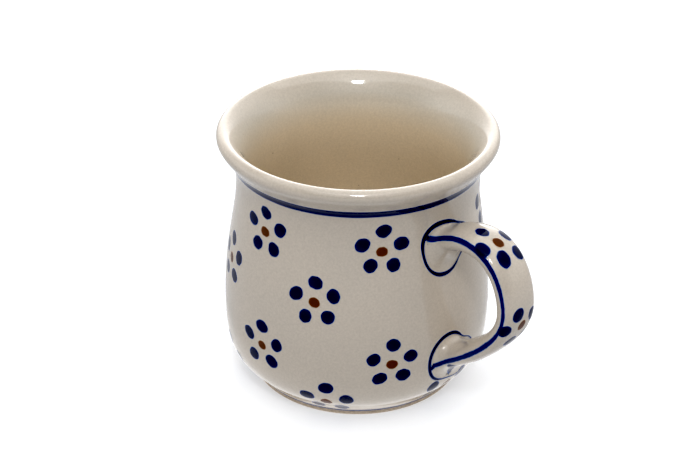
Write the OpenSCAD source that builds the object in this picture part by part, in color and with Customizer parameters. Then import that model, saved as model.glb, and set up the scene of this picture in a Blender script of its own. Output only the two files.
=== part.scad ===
// Stoneware mug: a waisted cup with a pulled strap handle, luted on with slip and
// painted under the glaze with five-petal dot flowers, lines and joint rings.
// Millimetres. Origin at the centre of the foot, +Z up, handle towards +X.

/* [Cup] */
// Height from foot to rim
mug_h = 87; // [84:0.5:92]
// Outer diameter of the rim
rim_d = 90; // [88:0.5:94]
// Thickness of the rounded lip
lip_t = 4.4; // [3.6:0.2:5]
// Widest diameter of the belly
belly_d = 87.2; // [86:0.2:90]
// Height of the widest point of the belly
belly_z = 24; // [22:0.5:27]
// Diameter of the waist under the rim
waist_d = 78.2; // [76:0.2:80]
// Height of the waist
waist_z = 70; // [68:0.5:72]
// Thickness of the cup's wall
wall_t = 3.9; // [3.2:0.1:4.6]
// Thickness of the cup's floor above the foot ring
floor_t = 4.6; // [4:0.2:6]

/* [Foot] */
// Outer diameter of the bare clay foot ring
foot_d = 69; // [66:0.5:72]
// Width of the foot ring
foot_w = 5; // [4:0.5:7]
// Height of the foot ring
foot_h = 1.3; // [1:0.1:1.8]

/* [Handle] */
// Distance of the strap's centre line from the cup's axis, at its furthest
reach = 67.1; // [65:0.1:70]
// Height of the furthest point of the strap
reach_z = 48.4; // [46:0.2:50]
// Height at which the strap meets the wall at the top
top_joint_z = 63.2; // [62:0.2:65]
// Height at which the strap meets the wall at the bottom
low_joint_z = 20.6; // [19:0.2:22]
// Width of the strap at its middle
strap_w = 14.4; // [13:0.2:16]
// Extra width of the strap at its ends
strap_flare = 0.6; // [0:0.2:3]
// Thickness of the strap
strap_t = 6.6; // [5:0.2:8]

/* [Painting] */
// Thickness of a painted layer
paint_t = 0.15; // [0.1:0.05:0.3]
// Diameter of a blue petal dot
petal_d = 4.5; // [4:0.1:5]
// Diameter of a brown centre dot
centre_d = 3.5; // [3:0.1:4]
// Distance from a flower's centre to its petals on the cup
petal_ring = 6.3; // [5.8:0.1:6.8]
// Distance from a flower's centre to its petals on the handle
handle_petal_ring = 5.2; // [5:0.1:5.4]
// Width of the band under the rim
band_w = 3; // [1.6:0.2:3.4]
// Height of the middle of that band
band_z = 77.6; // [76:0.2:78]
// Width of the stripes along the strap's edges
stripe_w = 2; // [1.4:0.2:2.4]

/* [Hidden] */
glaze_colour = [0.78, 0.75, 0.69];
clay_colour = [0.72, 0.66, 0.60];
cobalt_colour = [0.03, 0.05, 0.28];
brown_colour = [0.44, 0.19, 0.08];
eps = 0.01;

// Curve helpers: n points of a cubic Bezier, without its last point
function bezier_point(p, t) =
    pow(1 - t, 3) * p[0] + 3 * pow(1 - t, 2) * t * p[1]
    + 3 * (1 - t) * t * t * p[2] + pow(t, 3) * p[3];
function bezier(p, n) = [for (i = [0 : n - 1]) bezier_point(p, i / n)];
function arc(centre, r, a0, a1, n) =
    [for (i = [0 : n]) let (a = a0 + (a1 - a0) * i / n)
        centre + r * [cos(a), sin(a)]];

// Outline of the cup, as points of radius and height
belly_r = belly_d / 2;
waist_r = waist_d / 2;
foot_r = foot_d / 2;
lip_r = lip_t / 2;
lip_centre = [rim_d / 2 - lip_r, mug_h - lip_r];
lip_out_a = -25;
lip_in_a = 155;
lip_start = lip_centre + lip_r * [cos(lip_out_a), sin(lip_out_a)];
lip_end = lip_centre + lip_r * [cos(lip_in_a), sin(lip_in_a)];
heel = [[foot_r, foot_h], [foot_r + 4.8, foot_h + 7.5],
        [belly_r, belly_z - 17.5], [belly_r, belly_z]];
shoulder = [[belly_r, belly_z], [belly_r, belly_z + 23.8],
            [waist_r, waist_z - 12.7], [waist_r, waist_z]];
neck = [[waist_r, waist_z], [waist_r, waist_z + 8.5],
        lip_start - 4.2 * [-sin(lip_out_a), cos(lip_out_a)], lip_start];
outer_wall = concat(bezier(heel, 12), bezier(shoulder, 12), bezier(neck, 10));
lip = arc(lip_centre, lip_r, lip_out_a, lip_in_a, 14);
inner_waist_r = waist_r - wall_t;
inner_belly_r = belly_r - wall_t;
floor_z = foot_h + floor_t;
throat = [lip_end, lip_end + 3.6 * [sin(lip_in_a) - 0.9, cos(lip_in_a)],
          [inner_waist_r, waist_z + 7], [inner_waist_r, waist_z - 1]];
chamber = [[inner_waist_r, waist_z - 1], [inner_waist_r, waist_z - 12.7],
           [inner_belly_r, belly_z + 23.8], [inner_belly_r, belly_z + 2]];
corner = [[inner_belly_r, belly_z + 2], [inner_belly_r, floor_z + 6],
          [inner_belly_r - 5, floor_z + 0.6], [inner_belly_r - 17, floor_z]];
inner_wall = concat(bezier(throat, 10), bezier(chamber, 12), bezier(corner, 10));

// Radius and slope of the outer wall at a height
wall_table = [for (p = concat(outer_wall, [lip_start])) [p[1], p[0]]];
function wall_r(z) = lookup(z, wall_table);
function wall_tilt(z) = atan(wall_r(z + 0.5) - wall_r(z - 0.5));

// Part of the outer wall's outline between two heights, raised by t
function wall_strip(z0, z1, t) = concat(
    [[wall_r(z0) + t, z0]],
    [for (p = outer_wall) if (p[1] > z0 + eps && p[1] < z1 - eps) [p[0] + t, p[1]]],
    [[wall_r(z1) + t, z1]]);
function reversed(list) = [for (i = [len(list) - 1 : -1 : 0]) list[i]];

// Centre line of the strap in the XZ plane, from the top joint to the bottom one
top_root_x = 36.6;
low_root_x = 38;
top_arc = [[top_root_x, top_joint_z - 2.6], [58.5, top_joint_z + 12.8],
           [reach, reach_z + 10], [reach, reach_z]];
low_arc = [[reach, reach_z], [reach, reach_z - 14.4],
           [43.5, low_joint_z], [low_root_x, low_joint_z - 1.8]];
strap_line = concat(bezier(top_arc, 30), bezier(low_arc, 30), [low_arc[3]]);
strap_s = [for (i = 0, s = 0; i < len(strap_line);
                s = s + (i + 1 < len(strap_line) ? norm(strap_line[i + 1] - strap_line[i]) : 0),
                i = i + 1) s];
strap_len = strap_s[len(strap_s) - 1];
strap_x_table = [for (i = [0 : len(strap_s) - 1]) [strap_s[i], strap_line[i][0]]];
strap_z_table = [for (i = [0 : len(strap_s) - 1]) [strap_s[i], strap_line[i][1]]];
function strap_at(s) = [lookup(s, strap_x_table), lookup(s, strap_z_table)];
function unit(v) = v / norm(v);
function strap_dir(s) = unit(strap_at(min(s + 0.5, strap_len)) - strap_at(max(s - 0.5, 0)));

// Rounded section of the strap: angle 90 is the middle of its outer face
section_power = 2.6;
function rounded(v) = sign(v) * pow(abs(v), 2 / section_power);
function end_growth(s) = pow(abs(2 * s / strap_len - 1), 4);
function strap_half_w(s) = (strap_w + strap_flare * end_growth(s)) / 2;
function strap_point(s, a, raised = 0) =
    let (c = strap_at(s),
         d = strap_dir(s),
         across = (strap_half_w(s) + raised) * rounded(cos(a)),
         out = (strap_t / 2 + raised) * rounded(sin(a)))
    [c[0] - d[1] * out, across, c[1] + d[0] * out];

// Joins rings of points, anticlockwise seen from the last one, into a closed skin of
// triangles: a tube with each end a fan round its middle, or a loop without ends
function middle(ring) = [for (i = [0 : 2]) [for (p = ring) p[i]] * [for (p = ring) 1 / len(ring)]];
function skin(m, n) = [for (j = [0 : n - 1]) for (k = [0 : m - 1])
    let (a = j * m + k,
         b = j * m + (k + 1) % m)
    each [[a, b + m, b], [a, a + m, b + m]]];
module tube(rings) {
    m = len(rings[0]);
    n = len(rings);
    first = [for (k = [0 : m - 1]) [k, (k + 1) % m, m * n]];
    last = [for (k = [0 : m - 1]) [(n - 1) * m + (k + 1) % m, (n - 1) * m + k, m * n + 1]];
    polyhedron(concat([for (r = rings) each r], [middle(rings[0]), middle(rings[n - 1])]),
               concat(skin(m, n - 1), first, last));
}
module loop(rings) {
    m = len(rings[0]);
    n = len(rings);
    polyhedron([for (r = rings) each r],
               [for (f = skin(m, n)) [for (v = f) v % (m * n)]]);
}

module cup_outside() {
    rotate_extrude($fn = 180)
        polygon(concat([[0, foot_h]], outer_wall, [lip_start, [0, mug_h - lip_r]]));
}

module wall_layer(z0, z1, t) {
    rotate_extrude($fn = 180)
        polygon(concat(wall_strip(z0, z1, 0), reversed(wall_strip(z0, z1, t))));
}

module strap(rings = 44, sides = 28) {
    tube([for (j = [0 : rings]) [for (k = [0 : sides - 1])
        strap_point(strap_len * j / rings, 360 * k / sides)]]);
}

// Concave flare of slip round one end of the strap, from the oval that it covers on the
// wall out to a thin edge on the strap. Every point is a depth out from the wall.
flare_len = 8;
flare_edge = 0.2;
function flare_growth(d) = 1 - sqrt(1 - pow(1 - d / flare_len, 2));
function depth(p) = norm([p[0], p[1]]) - wall_r(p[2]);
function strap_at_depth(d, a, raised, s, way, tries = 6) =
    let (p = strap_point(s, a, raised))
    tries == 0 ? p
    : strap_at_depth(d, a, raised, s + way * (d - depth(p)), way, tries - 1);
function out_from_wall(d, y, z) = [sqrt(pow(wall_r(z) + d, 2) - y * y), y, z];
module slip_flare(start_s, way, oval_z, oval_w, oval_h, steps = 7, sides = 28) {
    depths = [for (i = [0 : steps]) flare_len * pow(i / steps, 1.6)];
    loop([for (k = [0 : sides - 1])
        let (a = way * 360 * k / sides,
             outer = [for (d = depths)
                 let (g = flare_growth(d),
                      p = strap_at_depth(d, a, flare_edge, start_s, way))
                 out_from_wall(d, p[1] * (1 - g) + cos(a) * oval_w / 2 * g,
                               p[2] * (1 - g) + (way * sin(a) * oval_h / 2 + oval_z) * g)],
             inner = [for (d = reversed(depths)) strap_at_depth(d, a, 0.02, start_s, way)])
        concat(outer, inner)]);
}

// A painted dot on the cup's wall, bedded a little into the glaze
bed = 0.05;
module wall_dot(azimuth, z, d) {
    rotate([0, 0, azimuth])
        translate([wall_r(z), 0, z])
            rotate([0, 90 + wall_tilt(z), 0])
                translate([0, 0, -bed])
                    cylinder(h = bed + paint_t, d = d, $fn = 32);
}

// A painted dot that follows the strap's outer face, s along it and y across it
function face_angle(s, y) =
    90 - sign(y) * asin(pow(min(abs(y) / strap_half_w(s), 0.99), section_power / 2));
module strap_dot(s, y, d, sides = 16) {
    tube([for (step = [[0.3, 0], [0.65, 0], [1, 0], [1, paint_t], [0.65, paint_t], [0.3, paint_t]])
        [for (k = [0 : sides - 1])
            let (a = 360 * k / sides,
                 r = step[0] * d / 2,
                 at = s + r * cos(a))
            strap_point(at, face_angle(at, y + r * sin(a)), step[1])]]);
}

// Flowers on the cup: height of each row, and azimuths from the handle
flower_rows = [[64.2, [-149, -92, -35.5, 37.5, 94, 151]],
               [46.4, [-118.5, -64.5, 64, 118.5, 180]],
               [25, [-149.5, -90, -30.5, 50, 103, 156]],
               [9.6, [-119, -59, -1, 59, 119, 180]]];
petal_angles = [90, 162, 234, 306, 18];

module each_flower() {
    for (row = flower_rows)
        for (azimuth = row[1]) {
            $z = row[0];
            $azimuth = azimuth;
            children();
        }
}

// Flowers on the handle: distance of each centre along the strap. The lower slip begins
// at low_slip_s and hides the petals past it.
low_slip_s = strap_len - 16;
handle_flower_s = [22.4, 46.9, 69.5];
handle_petal_angles = [46, 118, 190, 262, 334];

// Painted oval on the wall round one end of the handle, thicker on one side
module joint_ring(oval_z, oval_w, oval_h, line, shift) {
    intersection() {
        wall_layer(oval_z - oval_h / 2 - line - 1, oval_z + oval_h / 2 + line + 1, paint_t);
        translate([30, 0, oval_z])
            rotate([90, 0, 90])
                linear_extrude(20)
                    difference() {
                        translate([-shift, shift])
                            polygon(oval(oval_w + 2 * line, oval_h + 2 * line));
                        polygon(oval(oval_w, oval_h));
                    }
    }
}
function oval(w, h) = [for (k = [0 : 47]) [w / 2 * cos(7.5 * k), h / 2 * sin(7.5 * k)]];

// Outline that each slip flare covers on the wall
upper_oval_z = 60.2;
upper_oval_w = 19.8;
upper_oval_h = 15;
lower_oval_z = 21;
lower_oval_w = 19.4;
lower_oval_h = 16;

module body() {
    color(glaze_colour)
        rotate_extrude($fn = 180)
            polygon(concat([[0, foot_h]], outer_wall, lip, inner_wall, [[0, floor_z]]));
}

module foot_ring() {
    round_r = 0.5;
    inner_r = foot_r - foot_w;
    color(clay_colour)
        rotate_extrude($fn = 180)
            polygon(concat([[foot_r, foot_h], [inner_r, foot_h]],
                           arc([inner_r + round_r, round_r], round_r, 180, 270, 5),
                           arc([foot_r - round_r, round_r], round_r, -90, 0, 5)));
}

module handle() {
    color(glaze_colour)
        difference() {
            strap();
            cup_outside();
        }
}

module upper_slip_joint() {
    color(glaze_colour)
        slip_flare(3, 1, upper_oval_z, upper_oval_w, upper_oval_h);
}

module lower_slip_joint() {
    color(glaze_colour)
        slip_flare(strap_len - 6, -1, lower_oval_z, lower_oval_w, lower_oval_h);
}

module neck_band() {
    color(cobalt_colour)
        wall_layer(band_z - band_w / 2, band_z + band_w / 2, paint_t);
}

module foot_line() {
    color(cobalt_colour)
        wall_layer(foot_h + 0.5, foot_h + 1.2, paint_t);
}

module body_petals() {
    color(cobalt_colour)
        each_flower()
            for (a = petal_angles) {
                z = $z + petal_ring * sin(a) * cos(wall_tilt($z));
                azimuth = $azimuth + petal_ring * cos(a) / wall_r($z) * 180 / PI;
                under_handle = abs(azimuth) < 15 && z > lower_oval_z - lower_oval_h / 2 - 1;
                if (!under_handle) wall_dot(azimuth, z, petal_d);
            }
}

module body_flower_centres() {
    color(brown_colour)
        each_flower()
            wall_dot($azimuth, $z, centre_d);
}

module handle_petals() {
    color(cobalt_colour)
        for (s = handle_flower_s)
            for (a = handle_petal_angles) {
                at = s + handle_petal_ring * cos(a);
                if (at < low_slip_s) strap_dot(at, handle_petal_ring * sin(a), petal_d);
            }
}

module handle_flower_centres() {
    color(brown_colour)
        for (s = handle_flower_s)
            strap_dot(s, 0, centre_d);
}

module handle_edge_stripes() {
    color(cobalt_colour)
        for (side = [-1, 1])
            strap_stripe(side);
}

module upper_joint_ring() {
    color(cobalt_colour)
        joint_ring(upper_oval_z, upper_oval_w, upper_oval_h, 1.3, 0.4);
}

module lower_joint_ring() {
    color(cobalt_colour)
        joint_ring(lower_oval_z, lower_oval_w, lower_oval_h, 1.3, 0.4);
}

// Painted stripe along one edge of the strap, between the two slip flares. The edge is
// nearly straight there, so half the width is an angle whose sine it sets.
module strap_stripe(side, rings = 36) {
    half_a = asin(stripe_w / strap_t);
    edge_a = side > 0 ? 14 : 166;
    s0 = 12;
    s1 = strap_len - 15;
    tube([for (j = [0 : rings])
        let (s = s0 + (s1 - s0) * j / rings)
        [strap_point(s, edge_a - half_a), strap_point(s, edge_a), strap_point(s, edge_a + half_a),
         strap_point(s, edge_a + half_a, paint_t), strap_point(s, edge_a, paint_t),
         strap_point(s, edge_a - half_a, paint_t)]]);
}

body();
foot_ring();
handle();
upper_slip_joint();
lower_slip_joint();
neck_band();
foot_line();
body_petals();
body_flower_centres();
handle_petals();
handle_flower_centres();
handle_edge_stripes();
upper_joint_ring();
lower_joint_ring();
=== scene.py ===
# Looks of a stoneware mug: a thrown cup on a bare clay foot, a pulled strap handle whose
# ends flow into the wall, and decoration painted in cobalt and iron brown under a clear
# glaze. Lengths are in millimetres until a mesh is made, and in metres in the studio.
import math
import random

import bpy
import numpy as np
from mathutils import Matrix, Vector


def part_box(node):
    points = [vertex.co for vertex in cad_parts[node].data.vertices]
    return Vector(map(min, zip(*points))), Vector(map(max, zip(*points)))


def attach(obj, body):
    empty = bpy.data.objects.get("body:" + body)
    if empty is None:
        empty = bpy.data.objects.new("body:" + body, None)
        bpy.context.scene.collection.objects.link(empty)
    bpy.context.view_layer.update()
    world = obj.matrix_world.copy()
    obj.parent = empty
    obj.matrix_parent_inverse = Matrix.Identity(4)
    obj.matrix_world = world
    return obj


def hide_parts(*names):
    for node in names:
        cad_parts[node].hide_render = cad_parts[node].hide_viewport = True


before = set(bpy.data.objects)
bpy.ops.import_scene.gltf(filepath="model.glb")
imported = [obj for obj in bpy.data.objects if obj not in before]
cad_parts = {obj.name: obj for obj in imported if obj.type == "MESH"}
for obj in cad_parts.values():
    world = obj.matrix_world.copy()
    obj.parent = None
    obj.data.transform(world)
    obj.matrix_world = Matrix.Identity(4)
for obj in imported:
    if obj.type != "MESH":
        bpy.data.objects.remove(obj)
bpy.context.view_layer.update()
MM = 0.001


# ---------------------------------------------------------------- sizes from the frame
def corners(node):
    """The low and high corners of a node's box, in millimetres."""
    low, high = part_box(node)
    return low / MM, high / MM


body_low, body_high = corners("body")
foot_high = corners("foot_ring")[1]
band_low, band_high = corners("neck_band")
line_low, line_high = corners("foot_line")
handle_high = corners("handle")[1]
upper_low, upper_high = corners("upper_joint_ring")
lower_low, lower_high = corners("lower_joint_ring")

rim_r = body_high.x
mug_h = body_high.z
foot_h = body_low.z
foot_r = foot_high.x
foot_w = 5
belly_r, belly_z = 0.969 * rim_r, 0.276 * mug_h
waist_r, waist_z = 0.869 * rim_r, 0.8046 * mug_h
lip_r = 2.2
wall_t = 3.9
floor_z = foot_h + 4.6

# The handle: heights of its joints, which are a little below the middles of their painted
# rings, half the strap's width and thickness, and how far out its centre line goes and at
# what height
upper_z = 0.5 * (upper_low.z + upper_high.z) - 0.1
lower_z = 0.5 * (lower_low.z + lower_high.z) - 0.2
strap_half_w, strap_half_t = 7.2, 3.3
reach = handle_high.x - strap_half_t
reach_z = 48.4


# ---------------------------------------------------------------- camera
def add_camera():
    """Looks down at the mug from about 0.6 m away, with the handle on the right."""
    distance, height, azimuth = 511.0, 341.2, 43.8
    pan, tilt, roll = 0.265, 29.80, 0.469
    camera = bpy.data.objects.new("camera", bpy.data.cameras.new("camera"))
    camera.data.sensor_width = 36
    camera.data.lens = 92.66
    turn = math.radians(azimuth)
    place = Matrix.Translation(
        Vector((distance * math.sin(turn), -distance * math.cos(turn), height)) * MM
    )
    camera.matrix_world = (
        place
        @ Matrix.Rotation(math.radians(azimuth + pan), 4, "Z")
        @ Matrix.Rotation(math.radians(90 - tilt), 4, "X")
        @ Matrix.Rotation(math.radians(roll), 4, "Z")
    )
    bpy.context.scene.collection.objects.link(camera)
    bpy.context.scene.camera = camera


add_camera()


# ---------------------------------------------------------------- curves and surfaces
def bezier(points, n):
    """n points along a cubic Bezier, without its last one."""
    t = np.linspace(0, 1, n, endpoint=False)[:, None]
    a, b, c, d = np.array(points, float)
    return a * (1 - t) ** 3 + 3 * b * t * (1 - t) ** 2 + 3 * c * t**2 * (1 - t) + d * t**3


def arc(centre, radius, start, end, n):
    angle = np.radians(np.linspace(start, end, n))
    return np.array(centre) + radius * np.stack([np.cos(angle), np.sin(angle)], -1)


def lengths_along(line):
    steps = np.linalg.norm(np.diff(line, axis=0), axis=1)
    return np.concatenate([[0], np.cumsum(steps)])


# The cup's outline, as points of radius and height: a round lip, and Bezier curves that are
# given by their two ends and two handles. The neck runs into the lip along its slope, and
# the pulls are how far the curve between belly and waist is drawn along at each end.
lip_centre = (rim_r - lip_r, mug_h - lip_r)
lip_start = -25
lip = arc(lip_centre, lip_r, lip_start, 125, 26)
neck_slope = math.radians(lip_start + 90)
neck_way = np.array([math.cos(neck_slope), math.sin(neck_slope)])
belly_pull, waist_pull = 23.8, 12.7
heel = [(foot_r, foot_h), (foot_r + 4.8, foot_h + 7.5), (belly_r, belly_z - 17.5),
        (belly_r, belly_z)]
shoulder = [(belly_r, belly_z), (belly_r, belly_z + belly_pull),
            (waist_r, waist_z - waist_pull), (waist_r, waist_z)]
neck = [(waist_r, waist_z), (waist_r, waist_z + 8.5), lip[0] - 4.2 * neck_way, lip[0]]
outer = np.concatenate([bezier(heel, 26), bezier(shoulder, 40), bezier(neck, 24), lip[:1]])
inner_waist_r = waist_r - wall_t
inner_belly_r = belly_r - wall_t
throat = [lip[-1], lip[-1] + (-2.95, -2.07), (inner_waist_r, waist_z + 9),
          (inner_waist_r, waist_z - 1)]
chamber = [(inner_waist_r, waist_z - 1), (inner_waist_r, waist_z - waist_pull),
           (inner_belly_r, belly_z + belly_pull), (inner_belly_r, belly_z + 2)]
corner = [(inner_belly_r, belly_z + 2), (inner_belly_r, floor_z + 6),
          (inner_belly_r - 5, floor_z + 0.6), (inner_belly_r - 17, floor_z)]
inner = np.concatenate([bezier(throat, 24), bezier(chamber, 36), bezier(corner, 24)])
outer_s = lengths_along(outer)


def wall_r(z):
    return np.interp(z, outer[:, 1], outer[:, 0])


def wall_patch(azimuth, z):
    """The cup's wall round one spot, as a function of the way round and the way up."""
    start = np.interp(z, outer[:, 1], outer_s)

    def place(across, up):
        r = np.interp(start + up, outer_s, outer[:, 0])
        turn = math.radians(azimuth) + across / r
        height = np.interp(start + up, outer_s, outer[:, 1])
        return np.stack([r * np.cos(turn), r * np.sin(turn), height], -1)

    return place


# The strap's centre line in the XZ plane, from the upper joint to the lower one
top_half = [(36.6, upper_z + 0.1), (58.5, upper_z + 15.5), (reach, reach_z + 10),
            (reach, reach_z)]
low_half = [(reach, reach_z), (reach, reach_z - 14.4), (43.5, lower_z - 0.6),
            (38, lower_z - 2.4)]
strap_line = np.concatenate([bezier(top_half, 60), bezier(low_half, 60), low_half[3:]])
strap_s = lengths_along(strap_line)
strap_len = strap_s[-1]
strap_dir = np.gradient(strap_line, strap_s, axis=0)
section_power = 2.6


def rounded(v):
    """Turns the cosine and sine of a circle into those of a rounded rectangle."""
    return np.sign(v) * np.abs(v) ** (2 / section_power)


def strap_point(s, angle):
    """Point on the strap. Angle 90 is the middle of its outer face, 180 its near edge."""
    x, z = (np.interp(s, strap_s, strap_line[:, i]) for i in (0, 1))
    dx, dz = (np.interp(s, strap_s, strap_dir[:, i]) for i in (0, 1))
    growth = 0.3 * (2 * s / strap_len - 1) ** 4
    across = (strap_half_w + growth) * rounded(np.cos(np.radians(angle)))
    out = strap_half_t * rounded(np.sin(np.radians(angle)))
    return np.stack([x - dz * out, across, z + dx * out], -1)


def depth(point):
    """How far a point stands out from the cup's wall."""
    return np.hypot(point[..., 0], point[..., 1]) - wall_r(point[..., 2])


def out_from_wall(d, y, z):
    """Point that stands out from the cup's wall by d."""
    return np.stack([np.sqrt((wall_r(z) + d) ** 2 - y**2), y, z], -1)


# Hand-shaped outlines that the joints cover on the wall: a radius every 30 degrees, from
# the far side over the top to the near side and back under the handle
UPPER_JOINT = (9.3, 7.6, 6.2, 6.9, 8.9, 10.4, 9.9, 9.9, 9.2, 7.6, 6.2, 7.2)
LOWER_JOINT = (8.7, 6.6, 5.7, 7.4, 9.0, 9.6, 9.6, 9.5, 8.5, 8.4, 9.8, 9.4)


def joint_outline(upper, turn, grow=0.0):
    """The outline as places across and up the wall, smooth through its twelve radii."""
    radii = UPPER_JOINT if upper else LOWER_JOINT
    waves = np.fft.rfft(radii) / len(radii)
    turn = np.radians(turn)
    r = waves[0].real + grow
    for k, term in enumerate(waves[1:], 1):
        twice = 1 if 2 * k == len(radii) else 2
        r = r + twice * (term.real * np.cos(k * turn) - term.imag * np.sin(k * turn))
    return r * np.cos(turn), (upper_z if upper else lower_z) + r * np.sin(turn)


def flare_len(upper, turn):
    """Height of the slip's fillet: tall in the finger gap, low on the other side."""
    from_low_side = np.radians(turn - (90 if upper else 270))
    return 4.7 - 2.3 * np.cos(from_low_side) + 1.0 * np.cos(2 * from_low_side)


def handle_point(s, angle):
    """Point on the handle: the strap, flaring into the wall near its ends."""
    s, angle = np.broadcast_arrays(np.asarray(s, float), np.asarray(angle, float))
    p = strap_point(s, angle)
    result = p
    for upper in (True, False):
        turn = angle if upper else -angle
        tall = flare_len(upper, turn)
        d = np.clip(depth(p), 0, tall)
        g = (1 - np.sqrt(1 - (1 - d / tall) ** 2))[..., None]
        mixed = p[..., 1:] * (1 - g) + np.stack(joint_outline(upper, turn), -1) * g
        flare = out_from_wall(d, mixed[..., 0], mixed[..., 1])
        here = (d < tall) & ((s < strap_len / 2) == upper)
        result = np.where(here[..., None], flare, result)
    return result


def strap_at_depth(upper, d, angle):
    """Length along the strap at which a line of it stands out from the wall by d."""
    way = 1 if upper else -1
    first_guess = 3.0 if upper else strap_len - 6
    s = np.full(np.broadcast(d, angle).shape, first_guess)
    for _ in range(12):
        s = s + way * (d - depth(strap_point(s, angle)))
    return s


# The strap's section by length round it: 0 is the middle of the outer face, and the near
# side is negative
section_angles = np.linspace(270, -90, 721)
section = np.stack(
    [strap_half_w * rounded(np.cos(np.radians(section_angles))),
     strap_half_t * rounded(np.sin(np.radians(section_angles)))], -1)
section_round = lengths_along(section)
half_round = section_round[-1] / 2


def section_angle(across):
    return np.interp(across, section_round - half_round, section_angles)


def handle_patch(s0, across0):
    """The handle's skin round one spot, as a function of lengths along and across it."""
    return lambda s, across: handle_point(s0 + s, section_angle(across0 + across))


def joint_patch(upper, reach_in=7.0, steps=25):
    """The skin round a joint's outline, as a function of the angle round it and the way
    in over the fillet."""
    depths = reach_in * np.linspace(0, 1, steps) ** 2

    def place(turn, inward):
        angle = (turn if upper else -turn)[..., None]
        lines = handle_point(strap_at_depth(upper, depths, angle), angle)
        gaps = np.linalg.norm(np.diff(lines, axis=-2), axis=-1)
        far = np.concatenate([0 * gaps[..., :1], np.cumsum(gaps, -1)], -1)
        inward = np.minimum(inward, far[..., -1] - 0.01)
        k = np.maximum((far <= inward[..., None]).sum(-1, keepdims=True) - 1, 0)
        far_0, far_1 = (np.take_along_axis(far, k + i, -1) for i in (0, 1))
        line_0, line_1 = (np.take_along_axis(lines, k[..., None] + i, -2)[..., 0, :]
                          for i in (0, 1))
        on_flare = line_0 + (line_1 - line_0) * (inward[..., None] - far_0) / (far_1 - far_0)
        on_wall = out_from_wall(0, *joint_outline(upper, turn, np.maximum(-inward, 0)))
        return np.where((inward > 0)[..., None], on_flare, on_wall)

    return place


def lifted(place, u, v, lift, step=0.05):
    """Points of a patch, moved along its normal."""
    u, v, lift = np.broadcast_arrays(*(np.asarray(a, float) for a in (u, v, lift)))
    du = place(u + step, v) - place(u - step, v)
    dv = place(u, v + step) - place(u, v - step)
    normal = np.cross(du, dv)
    normal /= np.linalg.norm(normal, axis=-1, keepdims=True)
    return place(u, v) + lift[..., None] * normal


# ---------------------------------------------------------------- meshes
class Skin:
    """Collects closed tubes of points, each point with an amount of ink."""

    def __init__(self):
        self.points, self.faces, self.ink = [], [], []

    def tube(self, rings, ink=0.0, loop=False):
        """Joins rings of points. Open ends close in a fan round the middle of the ring."""
        rings = np.asarray(rings)
        n, m = rings.shape[:2]
        first = len(self.points)
        self.points.extend(rings.reshape(-1, 3))
        self.ink.extend(np.broadcast_to(ink, (n, m)).reshape(-1))
        for j in range(n if loop else n - 1):
            a, b = first + j * m, first + (j + 1) % n * m
            for k in range(m):
                self.faces.append((a + k, a + (k + 1) % m, b + (k + 1) % m, b + k))
        if not loop:
            self.fan(first, rings[0], False)
            self.fan(first + (n - 1) * m, rings[-1], True)

    def fan(self, first, ring, last):
        middle, m = len(self.points), len(ring)
        self.points.append(ring.mean(axis=0))
        self.ink.append(self.ink[first])
        for k in range(m):
            pair = (first + k, first + (k + 1) % m)
            self.faces.append((*(pair if last else pair[::-1]), middle))

    def piece(self, name, material, slot, *nodes):
        """Makes it one piece of one material, which replaces these nodes of the frame."""
        mesh = bpy.data.meshes.new(name)
        mesh.from_pydata([Vector(p) * MM for p in self.points], [], self.faces)
        mesh.attributes.new("ink", "FLOAT", "POINT").data.foreach_set("value", self.ink)
        mesh.shade_smooth()
        mesh.materials.append(material)
        piece = bpy.data.objects.new(name, mesh)
        bpy.context.scene.collection.objects.link(piece)
        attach(piece, "root")
        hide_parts(*nodes)


def turned(outline, sides=192):
    """Rings of an outline of radius and height turned about Z."""
    turn = np.linspace(0, 2 * np.pi, sides, endpoint=False)
    return [np.stack([r * np.cos(turn), r * np.sin(turn), np.full(sides, z)], -1)
            for r, z in outline]


# Paint: height of its top above the glaze and of its underside within it, half the width of
# its soft edge, how far its faint halo spreads, and the height at which the halo ends
LIFT = 0.05
BED = -0.07
SOFT = 0.14
HALO = 0.45
HALO_BED = -0.03

# A painted line is paler where half its width is less than this, down to this much ink
FULL_HALF = 0.4
LEAST_INK = 0.75


def wave(rng, amount, orders):
    """A closed wavy line, as a function of the angle in degrees."""
    terms = [(k, rng.uniform(0.3, 1) * amount / len(orders), rng.uniform(0, 360))
             for k in orders]
    return lambda angle: sum(a * np.cos(np.radians(k * angle + p)) for k, a, p in terms)


def bare(points):
    """Ink of other marks at some points, where there are none."""
    return 0


def ink_of(marks):
    """Ink of other marks, as a function of points. Each mark is x, y, z and a radius."""
    def ink(points):
        away = np.linalg.norm(points[..., None, :] - marks[:, :3], axis=-1) - marks[:, 3]
        return np.interp(away.min(-1), [-SOFT, 0, SOFT, HALO], [0.9, 0.5, 0.12, 0])

    return ink


def marks_along(place, along, centre, half):
    """The marks that a stroke is made of."""
    return np.column_stack([place(along, centre), half])


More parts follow.
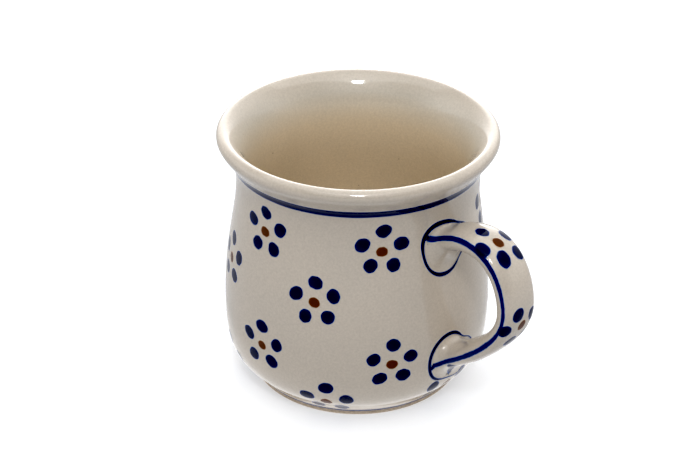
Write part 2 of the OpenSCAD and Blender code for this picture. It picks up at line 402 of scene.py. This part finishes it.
def dot(skin, place, radius, rng, under=bare):
    """A painted dot, nearly round, with a paler side and a soft edge. Each step from its
    underside round to its top gives a part of the radius, a length more, height and ink."""
    angle = np.arange(0, 360, 12)
    shape = radius * (1 + wave(rng, 0.10, (2,))(angle) + wave(rng, 0.07, (3, 4, 7))(angle))
    pale = 0.12 * rng.random() * np.clip(np.cos(np.radians(angle - rng.uniform(0, 360))), 0, 1)
    steps = [(0.02, 0, BED, 1), (0.5, 0, BED, 1), (1, HALO, BED, 0), (1, HALO, HALO_BED, 0),
             (1, SOFT, LIFT, 0.12), (1, 0, LIFT, 0.5), (1, -SOFT, LIFT, 0.86),
             (0.82, -SOFT, LIFT, 0.97), (0.6, 0, LIFT, 1), (0.4, 0, LIFT, 1),
             (0.2, 0, LIFT, 1), (0.02, 0, LIFT, 1)]
    rings, inks = [], []
    for part, wider, height, ink in steps:
        r = shape * part + wider
        ring = lifted(place, r * np.cos(np.radians(angle)), r * np.sin(np.radians(angle)), height)
        rings.append(ring)
        inks.append(np.maximum(ink * (1 - pale * part), under(ring)))
    skin.tube(rings, np.array(inks))


def stroke(skin, place, along, centre, half, loop=False, under=bare, lift=LIFT, full=1.0):
    """A painted line: centre and half give its middle and half its width along it, and full
    is its most ink. Each column gives a part of half the width, a length more, height and
    ink."""
    strength = np.clip(half / FULL_HALF, LEAST_INK, full)
    core = [(part, 0, lift, 1) for part in (-0.6, -0.4, -0.2, 0, 0.2, 0.4, 0.6)]
    columns = [(-1, -HALO, HALO_BED, 0), (-1, -SOFT, lift, 0.12), (-1, 0, lift, 0.5),
               (-1, SOFT, lift, 0.86), *core, (1, -SOFT, lift, 0.86), (1, 0, lift, 0.5),
               (1, SOFT, lift, 0.12), (1, HALO, HALO_BED, 0), (1, HALO, BED, 0),
               (0.4, 0, BED, 1), (-0.4, 0, BED, 1), (-1, -HALO, BED, 0)]
    points, inks = [], []
    for side, wider, height, ink in columns:
        points.append(lifted(place, along, centre + side * half + wider, height))
        inks.append(np.maximum(ink * strength, under(points[-1])))
    skin.tube(np.stack(points, 1), np.stack(inks, 1), loop)


# ---------------------------------------------------------------- materials
class Shader:
    """A material's node tree, with short names for what it needs."""

    def __init__(self, name):
        self.material = bpy.data.materials.new(name)
        self.material.use_nodes = True
        self.tree = self.material.node_tree
        self.surface = self.tree.nodes["Principled BSDF"]
        self.where = self.node("ShaderNodeTexCoord").outputs["Object"]

    def node(self, kind, inputs=None, **settings):
        node = self.tree.nodes.new(kind)
        for key, value in settings.items():
            setattr(node, key, value)
        for key, value in (inputs or {}).items():
            if isinstance(value, bpy.types.NodeSocket):
                self.tree.links.new(value, node.inputs[key])
            else:
                node.inputs[key].default_value = value
        return node

    def link(self, output, name):
        self.tree.links.new(output, self.surface.inputs[name])

    def attribute(self, name):
        return self.node("ShaderNodeAttribute", attribute_name=name).outputs["Fac"]

    def noise(self, scale, detail, rough=0.5):
        inputs = {"Vector": self.where, "Scale": scale, "Detail": detail, "Roughness": rough}
        return self.node("ShaderNodeTexNoise", inputs).outputs["Fac"]

    def span(self, value, low, high, to_low=0.0, to_high=1.0):
        """Maps the span from low to high to another one, and keeps within its ends."""
        inputs = {"Value": value, "From Min": low, "From Max": high,
                  "To Min": to_low, "To Max": to_high}
        return self.node("ShaderNodeMapRange", inputs).outputs["Result"]

    def maths(self, operation, a, b):
        return self.node("ShaderNodeMath", {0: a, 1: b}, operation=operation).outputs[0]

    def mix(self, factor, a, b, blend="MIX"):
        node = self.node("ShaderNodeMix", data_type="RGBA", blend_type=blend)
        for socket, value in ((node.inputs[0], factor), (node.inputs[6], a), (node.inputs[7], b)):
            if isinstance(value, bpy.types.NodeSocket):
                self.tree.links.new(value, socket)
            else:
                socket.default_value = value
        return node.outputs[2]

    def ramp(self, value, *stops):
        node = self.node("ShaderNodeValToRGB", {"Fac": value})
        for i, (at, colour) in enumerate(stops):
            stop = node.color_ramp.elements[i] if i < 2 else node.color_ramp.elements.new(at)
            stop.position = at
            stop.color = (*colour, 1)
        return node.outputs["Color"]

    def bump(self, height, distance, strength=1.0):
        inputs = {"Height": height, "Distance": distance, "Strength": strength}
        self.link(self.node("ShaderNodeBump", inputs).outputs["Normal"], "Normal")


# The glaze's two tints and its iron specks, and how much paler it is away from the paint
GLAZE = (0.56, 0.515, 0.44, 1)
GLAZE_GREY = (0.54, 0.50, 0.43, 1)
SPECK = (0.11, 0.065, 0.035, 1)
PALER = (1.32, 1.25, 1.2, 1)
GLAZE_IOR, PAINT_IOR = 1.6, 1.34

# Tone of the glaze from outside the cup to deep inside, as painted light: with PALER it leaves
# the outside nearly as it is and paints the inside lighter and browner for light that falls into
# the cup. Colour of the paint from its faintest ink to its thickest
GLAZE_PAINTED_LIGHT = ((0.0, (0.758, 0.785, 0.833)), (0.35, (0.84, 0.90, 0.97)),
               (1.0, (0.955, 0.953, 0.91)))
COBALT = ((0.0, (0.30, 0.36, 0.50)), (0.3, (0.16, 0.24, 0.48)), (0.62, (0.006, 0.035, 0.21)),
          (0.88, (0.002, 0.008, 0.075)), (1.0, (0.001, 0.005, 0.042)))
IRON_BROWN = ((0.0, (0.36, 0.28, 0.20)), (0.35, (0.30, 0.15, 0.07)),
              (0.65, (0.17, 0.055, 0.018)), (1.0, (0.105, 0.037, 0.015)))
CLAY = ((0.3, (0.42, 0.35, 0.28)), (0.7, (0.56, 0.48, 0.40)))


def glaze_colour(shader):
    """Warm grey glaze with faint mottling, fine grain and a few iron specks."""
    cloud = shader.span(shader.noise(scale=38, detail=3.0), 0.35, 0.65)
    colour = shader.mix(cloud, GLAZE, GLAZE_GREY)
    grain = shader.span(shader.noise(scale=1400, detail=2.0, rough=0.7), 0.3, 0.7, 0.94, 1.05)
    colour = shader.mix(1.0, colour, grain, "MULTIPLY")
    cells = shader.node("ShaderNodeTexVoronoi", {"Vector": shader.where, "Scale": 230.0})
    near = shader.span(cells.outputs["Distance"], 0.03, 0.055, 1, 0)
    pick = shader.node("ShaderNodeSeparateColor", {"Color": cells.outputs["Color"]})
    chosen = shader.span(pick.outputs[0], 0.9, 0.93)
    return shader.mix(shader.maths("MULTIPLY", near, chosen), colour, SPECK)


def finish_glaze(shader, colour, ior):
    """The clear, glossy skin that lies over every colour."""
    shader.link(colour, "Base Color")
    shader.surface.inputs["Roughness"].default_value = 0.07
    shader.surface.inputs["IOR"].default_value = ior
    shader.bump(shader.noise(scale=160, detail=1.0), distance=0.1 * MM, strength=0.35)
    return shader.material


def glaze_material():
    """Bare glaze. Its ink is the depth inside the cup, where the glaze is painted lighter and
    browner: painted light for light that falls into the cup.
    """
    shader = Shader("stoneware_glaze")
    # Painted light: the glaze is painted lighter and browner deeper inside the cup
    painted_light = shader.ramp(shader.attribute("ink"), *GLAZE_PAINTED_LIGHT)
    colour = shader.mix(1.0, glaze_colour(shader), PALER, "MULTIPLY")
    return finish_glaze(shader, shader.mix(1.0, colour, painted_light, "MULTIPLY"), GLAZE_IOR)


def paint_material(name, stops):
    """Colour that spreads a little into the glaze round it."""
    shader = Shader(name)
    unevenness = shader.span(shader.noise(scale=500, detail=1.0), 0.3, 0.7, -0.015, 0.015)
    ink = shader.maths("ADD", shader.attribute("ink"), unevenness)
    colour = shader.mix(shader.span(ink, 0.06, 0.4), glaze_colour(shader),
                        shader.ramp(ink, *stops))
    return finish_glaze(shader, colour, PAINT_IOR)


def clay_material():
    """Dry, sandy clay without glaze."""
    shader = Shader("bare_clay")
    cloud = shader.noise(scale=900, detail=4.0, rough=0.7)
    shader.link(shader.ramp(cloud, *CLAY), "Base Color")
    shader.surface.inputs["Roughness"].default_value = 0.85
    shader.bump(shader.noise(scale=2500, detail=3.0), distance=0.2 * MM)
    return shader.material


glaze = glaze_material()
clay = clay_material()
cobalt = paint_material("cobalt", COBALT)
brown = paint_material("iron_brown", IRON_BROWN)


# ---------------------------------------------------------------- clay pieces
def add_cup(lip_outside=20, painted_light_depth=16):
    """The thrown cup. Its skin is inside after so many points of its lip, and there its glaze is
    painted lighter and browner, as painted light, over the first stretch below the mouth."""
    underside = [(6, foot_h), (24, foot_h)]
    cup_floor = [(16, floor_z), (9, floor_z), (3, floor_z)]
    outline = np.concatenate([underside, outer, lip[1:], inner[1:], cup_floor])
    last_outside = len(underside) + len(outer) + lip_outside
    # Depth below the mouth, which sets how much painted light lightens and browns the glaze
    # inside
    below_mouth = np.clip((mug_h - outline[:, 1]) / painted_light_depth, 0, 1)
    inside = np.where(np.arange(len(outline)) > last_outside, below_mouth, 0)
    skin = Skin()
    skin.tube(turned(outline), inside[:, None])
    skin.piece("cup", glaze, "glaze", "body")


def add_foot():
    """The turned foot: its edges are a little rounded, and its top is inside the cup."""
    inner_r, top, edge_r = foot_r - foot_w, foot_h + 0.15, 0.5
    outline = np.concatenate([arc((foot_r - edge_r, edge_r), edge_r, -90, 0, 6),
                              [(foot_r, foot_h - 0.1), (foot_r - 0.2, top), (inner_r, top)],
                              arc((inner_r + edge_r, edge_r), edge_r, 180, 270, 6)])
    skin = Skin()
    skin.tube(turned(outline), loop=True)
    skin.piece("foot", clay, "bare_clay", "foot_ring")


def add_handle(sides=96, flare_steps=16, strap_steps=100):
    """The strap and the slip at its ends, which starts a little inside the wall."""
    angle = section_angle(np.linspace(-half_round, half_round, sides, endpoint=False))

    def flare(upper):
        turn = angle if upper else -angle
        outline = joint_outline(upper, turn, grow=0.5)
        rings = [out_from_wall(d, *outline) for d in (-0.6, -0.05)]
        for part in np.linspace(0, 1, flare_steps, endpoint=False) ** 2:
            s = strap_at_depth(upper, part * flare_len(upper, turn), angle)
            rings.append(handle_point(s, angle))
        return rings

    start = strap_at_depth(True, flare_len(True, angle), angle)
    end = strap_at_depth(False, flare_len(False, -angle), angle)
    strap = [strap_point(start + t * (end - start), angle)
             for t in np.linspace(0, 1, strap_steps)]
    skin = Skin()
    skin.tube((flare(True) + strap + flare(False)[::-1])[::-1])
    skin.piece("pulled_handle", glaze, "glaze", "handle", "upper_slip_joint",
               "lower_slip_joint")


add_cup()
add_foot()
add_handle()


# ---------------------------------------------------------------- painting on the cup
def band_patch(middle):
    """The cup's wall as a function of the azimuth in degrees and the way up from a height."""
    start = np.interp(middle, outer[:, 1], outer_s)

    def place(turn, up):
        r = np.interp(start + up, outer_s, outer[:, 0])
        height = np.interp(start + up, outer_s, outer[:, 1])
        return np.stack([r * np.cos(np.radians(turn)), r * np.sin(np.radians(turn)), height], -1)

    return place


def add_band(name, node, low, high, wobble, seed):
    """A line turned round the cup between two heights, with a slightly uneven edge."""
    turn = np.linspace(0, 360, 288, endpoint=False)
    rng = random.Random(seed)
    skin = Skin()
    stroke(skin, band_patch((low + high) / 2), turn, wave(rng, wobble, (1, 2, 5))(turn),
           (high - low) / 2 + wave(rng, wobble, (3, 7, 11, 23))(turn), loop=True, full=0.94)
    skin.piece(name, cobalt, "cobalt", node)


# Rows of flowers: height, then azimuth and lean in degrees of each one
FLOWER_ROWS = (
    (64.2, ((-149, 3), (-92, 1), (-34.9, -4), (37.5, 0), (94, -4), (151, 5))),
    (46.5, ((-118.5, 2), (-63.8, 4), (64, -3), (118.5, 5), (180, -2))),
    (25.2, ((-149.5, -4), (-89.6, 0), (-31.1, -3), (50, 3), (103, -2), (156, 4))),
    (9.2, ((-119, 3), (-59.0, -1), (-1, 0), (59, -3), (119, 2), (180, 4))),
)

# Petals of a flower on the cup: angles and distance from its centre, and how far from the
# middle of the handle's lower joint they have to be
PETAL_ANGLES = (90, 164, 236, 308, 19)
PETAL_RING = 6.4
JOINT_CLEARANCE = 11.2


def near_lower_joint(azimuth, z):
    """Whether a petal there would lie on the handle's lower joint."""
    across = wall_r(z) * math.radians(azimuth)
    return math.hypot(across, z - lower_z) < JOINT_CLEARANCE


def add_flowers():
    """Rows of flowers round the cup: five cobalt petals round a brown centre."""
    rng = random.Random(5)
    petals, centres = Skin(), Skin()
    for z, row in FLOWER_ROWS:
        middle = np.interp(z, outer[:, 1], outer_s)
        for azimuth, lean in row:
            dot(centres, wall_patch(azimuth + rng.uniform(-0.5, 0.5), z - rng.uniform(0, 0.5)),
                radius=rng.uniform(1.55, 1.75), rng=rng)
            for angle in PETAL_ANGLES:
                turn = math.radians(angle + lean + rng.uniform(-2, 2))
                ring = PETAL_RING + rng.uniform(-0.25, 0.35)
                across, up = ring * math.cos(turn), ring * math.sin(turn)
                spot = np.interp(middle + up, outer_s, outer[:, 1])
                spot_azimuth = azimuth + math.degrees(across / wall_r(spot))
                if not near_lower_joint(spot_azimuth, spot):
                    dot(petals, wall_patch(spot_azimuth, spot), rng.uniform(2.2, 2.42), rng)
    petals.piece("flower_petals", cobalt, "cobalt", "body_petals")
    centres.piece("flower_centres", brown, "iron_brown", "body_flower_centres")


add_band("rim_band", "neck_band", band_low.z, band_high.z, wobble=0.12, seed=1)
add_band("foot_band", "foot_line", line_low.z, line_high.z, wobble=0.08, seed=2)
add_flowers()


# ---------------------------------------------------------------- painting on the handle
# Stripe along the strap's edge: length along the strap, distance from the middle of its
# outer face, and width of the line
STRIPE = ((0, 6.8, 2.1), (12, 6.9, 1.9), (24, 7.8, 1.8), (42, 7.9, 1.25), (50, 8.4, 1.2),
          (58, 8.9, 1.8), (68, 9.0, 1.7), (78, 8.8, 1.8), (87, 8.0, 1.9))
stripe_s, stripe_across, stripe_width = np.array(STRIPE).T
stripe_wave = wave(random.Random(3), 0.16, (11, 19, 31, 47, 61))


def strap_ends(across, just_out=0.05):
    """Lengths along the strap at which a line of it leaves the wall and meets it again."""
    angle = section_angle(across)
    return strap_at_depth(True, just_out, angle), strap_at_depth(False, just_out, angle)


def edge_patch(side, steps=220):
    """The handle's skin near one edge, where places along it follow the wall at its ends,
    and the places along it of a stripe."""
    first, last = strap_ends(np.array(side * stripe_across[0]))

    def place(s, across):
        start, end = strap_ends(across)
        part = (s - first) / (last - first)
        return handle_point(start + part * (end - start), section_angle(across))

    return place, np.linspace(first, last, steps)


def stripe(side, nudge=0.1):
    """Patch, places along it, middle and half width of the stripe along one edge."""
    place, s = edge_patch(side)
    middle = side * np.interp(s, stripe_s, stripe_across)
    nudged = place(s, middle + nudge) - place(s, middle - nudge)
    stretch = np.linalg.norm(nudged, axis=-1) / (2 * nudge)
    half = np.interp(s, stripe_s, stripe_width) / 2 + stripe_wave(4 * s + 90 * side)
    return place, s, middle, half / stretch


# Flowers on the handle: place along and across it of the centre, then place and radius of
# each petal
HANDLE_FLOWERS = (
    ((22.5, 0.1), ((17.5, -0.4, 1.95), (21.4, 5.2, 1.9), (27.0, 4.5, 2.1), (26.8, -2.2, 2.35),
                   (21.8, -6.0, 2.25))),
    ((46.8, 0.0), ((42.8, -2.4, 2.15), (44.8, 4.6, 2.0), (47.3, -6.5, 2.1), (52.6, -1.8, 2.2),
                   (51.5, 4.4, 2.1))),
    ((72.5, 0.3), ((67.8, -2.0, 2.1), (70.0, 4.2, 2.1), (75.6, 4.2, 2.0), (80.6, -2.2, 1.6),
                   (76.6, -6.1, 1.6))),
)


# Width of the brushed line round each joint every 30 degrees, as for the outlines
UPPER_RING = (0.9, 0.5, 0.7, 1.4, 1.9, 1.5, 0.85, 0.9, 1.4, 1.1, 0.55, 0.8)
LOWER_RING = (0.8, 0.4, 0.5, 1.25, 1.4, 1.3, 1.1, 0.9, 0.6, 0.5, 0.5, 0.8)


def joint_ring(upper, widths, seed, outside=0.8):
    """Patch, places along it, middle and half width of a brushed oval just outside a joint,
    which is thick where the brush landed and thin where it left."""
    turn = np.linspace(0, 360, 144, endpoint=False)
    middle = np.full(len(turn), -outside)
    half = np.interp(turn, np.arange(0, 390, 30), (*widths, widths[0])) / 2
    half = half + wave(random.Random(seed), 0.06, (3, 5, 9))(turn)
    return joint_patch(upper), turn, middle, half


def stripe_end(upper, side, inward, radius):
    """A blob that joins a stripe to a ring, as its patch and its mark."""
    across = side * stripe_across[0 if upper else -1]
    turn = section_angle(across) * (1 if upper else -1)
    joint = joint_patch(upper)
    round_joint = np.linalg.norm(np.subtract(*(
        joint(np.array(turn + step), np.array(inward)) for step in (-1, 1)))) / 2

    def place(u, v):
        return joint(turn + u / round_joint, inward + v)

    return place, np.array([[*place(np.array(0.0), np.array(0.0)), radius]])


def add_handle_lines():
    """The edge stripes and the joint rings, which run into each other."""
    stripes = [stripe(side) for side in (-1, 1)]
    upper_ring = joint_ring(True, UPPER_RING, seed=21)
    lower_ring = joint_ring(False, LOWER_RING, seed=22)
    ends = [stripe_end(upper, side, inward=0.1, radius=radius)
            for upper, radius in ((True, 0.95), (False, 0.8)) for side in (-1, 1)]
    end_marks = np.concatenate([mark for place, mark in ends])
    stripe_marks = np.concatenate([marks_along(*line) for line in stripes])
    ring_marks = np.concatenate([marks_along(*upper_ring), marks_along(*lower_ring)])

    rng = random.Random(17)
    skin = Skin()
    for line in stripes:
        stroke(skin, *line, under=ink_of(np.concatenate([ring_marks, end_marks])), lift=0.035,
               full=0.82)
    for place, mark in ends:
        dot(skin, place, mark[0, 3], rng, ink_of(np.concatenate([ring_marks, stripe_marks])))
    skin.piece("edge_stripes", cobalt, "cobalt", "handle_edge_stripes")
    others = ink_of(np.concatenate([stripe_marks, end_marks]))
    for name, ring in (("upper", upper_ring), ("lower", lower_ring)):
        skin = Skin()
        stroke(skin, *ring, loop=True, under=others, lift=0.06)
        skin.piece(name + "_ring", cobalt, "cobalt", name + "_joint_ring")
    return ink_of(stripe_marks)


def add_handle_flowers(under):
    """Flowers on the handle, whose petals may run into the ink that is there already."""
    rng = random.Random(11)
    petals, centres = Skin(), Skin()
    for middle, around in HANDLE_FLOWERS:
        dot(centres, handle_patch(*middle), radius=1.55, rng=rng)
        for s, across, radius in around:
            dot(petals, handle_patch(s, across), radius, rng, under)
    petals.piece("strap_petals", cobalt, "cobalt", "handle_petals")
    centres.piece("strap_centres", brown, "iron_brown", "handle_flower_centres")


add_handle_flowers(add_handle_lines())


# ---------------------------------------------------------------- studio
def add_floor():
    """A white sheet. It lights the mug most from close round the foot, and to the camera it glows
    evenly but for a slightly darker patch there, a painted contact shadow."""
    half = 4.0
    mesh = bpy.data.meshes.new("floor")
    mesh.from_pydata([(-half, -half, 0), (half, -half, 0), (half, half, 0), (-half, half, 0)],
                     [], [(0, 1, 2, 3)])
    shader = Shader("floor")
    shader.surface.inputs["Base Color"].default_value = (0.45, 0.46, 0.48, 1)
    shader.surface.inputs["Roughness"].default_value = 0.9
    shader.surface.inputs["Specular IOR Level"].default_value = 0.1
    shader.surface.inputs["Emission Color"].default_value = (1, 1, 1, 1)
    length = shader.node("ShaderNodeVectorMath", {0: shader.where}, operation="LENGTH")
    from_axis = length.outputs["Value"]
    as_light = shader.span(from_axis, 42 * MM, 68 * MM, 0.85, 0.22)
    # Seen by the camera, the floor glows less close round the foot: a painted contact shadow
    seen_with_painted_shadow = shader.span(from_axis, 36 * MM, 52 * MM, 0.49, 0.62)
    camera_ray = shader.node("ShaderNodeLightPath").outputs["Is Camera Ray"]
    shader.link(shader.span(camera_ray, 0, 1, as_light, seen_with_painted_shadow), "Emission Strength")
    mesh.materials.append(shader.material)
    floor = bpy.data.objects.new("floor", mesh)
    bpy.context.scene.collection.objects.link(floor)


def towards(azimuth, elevation):
    """Direction of a place seen from the mug, as a vector of length 1."""
    turn, rise = math.radians(azimuth), math.radians(elevation)
    return Vector((math.cos(turn) * math.cos(rise), math.sin(turn) * math.cos(rise),
                   math.sin(rise)))


def add_light(name, azimuth, elevation, distance, size, radiance):
    """A square softbox that faces the mug."""
    light = bpy.data.lights.new(name, "AREA")
    light.size = size
    light.energy = radiance * math.pi * size**2
    lamp = bpy.data.objects.new(name, light)
    lamp.location = distance * towards(azimuth, elevation)
    lamp.rotation_euler = lamp.location.to_track_quat("Z", "Y").to_euler()
    bpy.context.scene.collection.objects.link(lamp)


# Soft glows of the white tent round the mug: azimuth, elevation and strength
GLOWS = ((44, 12, 0.9), (84, 30, 1.4), (134, 14, 3.8), (179, 12, 0.8), (-136, 12, 1.5),
         (-46, 50, 1.5))
GLOW_POWER = 8.0


def add_tent():
    """A white tent, brightest behind the mug and softer at its sides and over the camera."""
    world = bpy.data.worlds.new("tent")
    world.use_nodes = True
    tree = world.node_tree
    where = tree.nodes.new("ShaderNodeTexCoord").outputs["Generated"]
    total = 0.0
    for azimuth, elevation, strength in GLOWS:
        facing = tree.nodes.new("ShaderNodeVectorMath")
        facing.operation = "DOT_PRODUCT"
        facing.inputs[1].default_value = towards(azimuth, elevation)
        tree.links.new(where, facing.inputs[0])
        value = facing.outputs["Value"]
        for operation, amount in (("MAXIMUM", 0.0), ("POWER", GLOW_POWER),
                                  ("MULTIPLY", strength), ("ADD", total)):
            step = tree.nodes.new("ShaderNodeMath")
            step.operation = operation
            tree.links.new(value, step.inputs[0])
            if isinstance(amount, float):
                step.inputs[1].default_value = amount
            else:
                tree.links.new(amount, step.inputs[1])
            value = step.outputs[0]
        total = value
    tree.links.new(total, tree.nodes["Background"].inputs["Strength"])
    tree.nodes["Background"].inputs["Color"].default_value = (1, 1, 1, 1)
    bpy.context.scene.world = world


def add_contrast(black, power):
    """Plain display colours with a little more contrast."""
    view = bpy.context.scene.view_settings
    view.view_transform = "Standard"
    view.gamma = 1 / power
    view.use_curve_mapping = True
    view.curve_mapping.black_level = (black,) * 3
    view.curve_mapping.update()


add_floor()
add_tent()
add_light("top_softbox", azimuth=0, elevation=90, distance=1.3, size=1.9, radiance=1.15)
add_light("lamp", azimuth=-45, elevation=50, distance=1.2, size=0.17, radiance=38)
add_contrast(black=0.045, power=1.2)
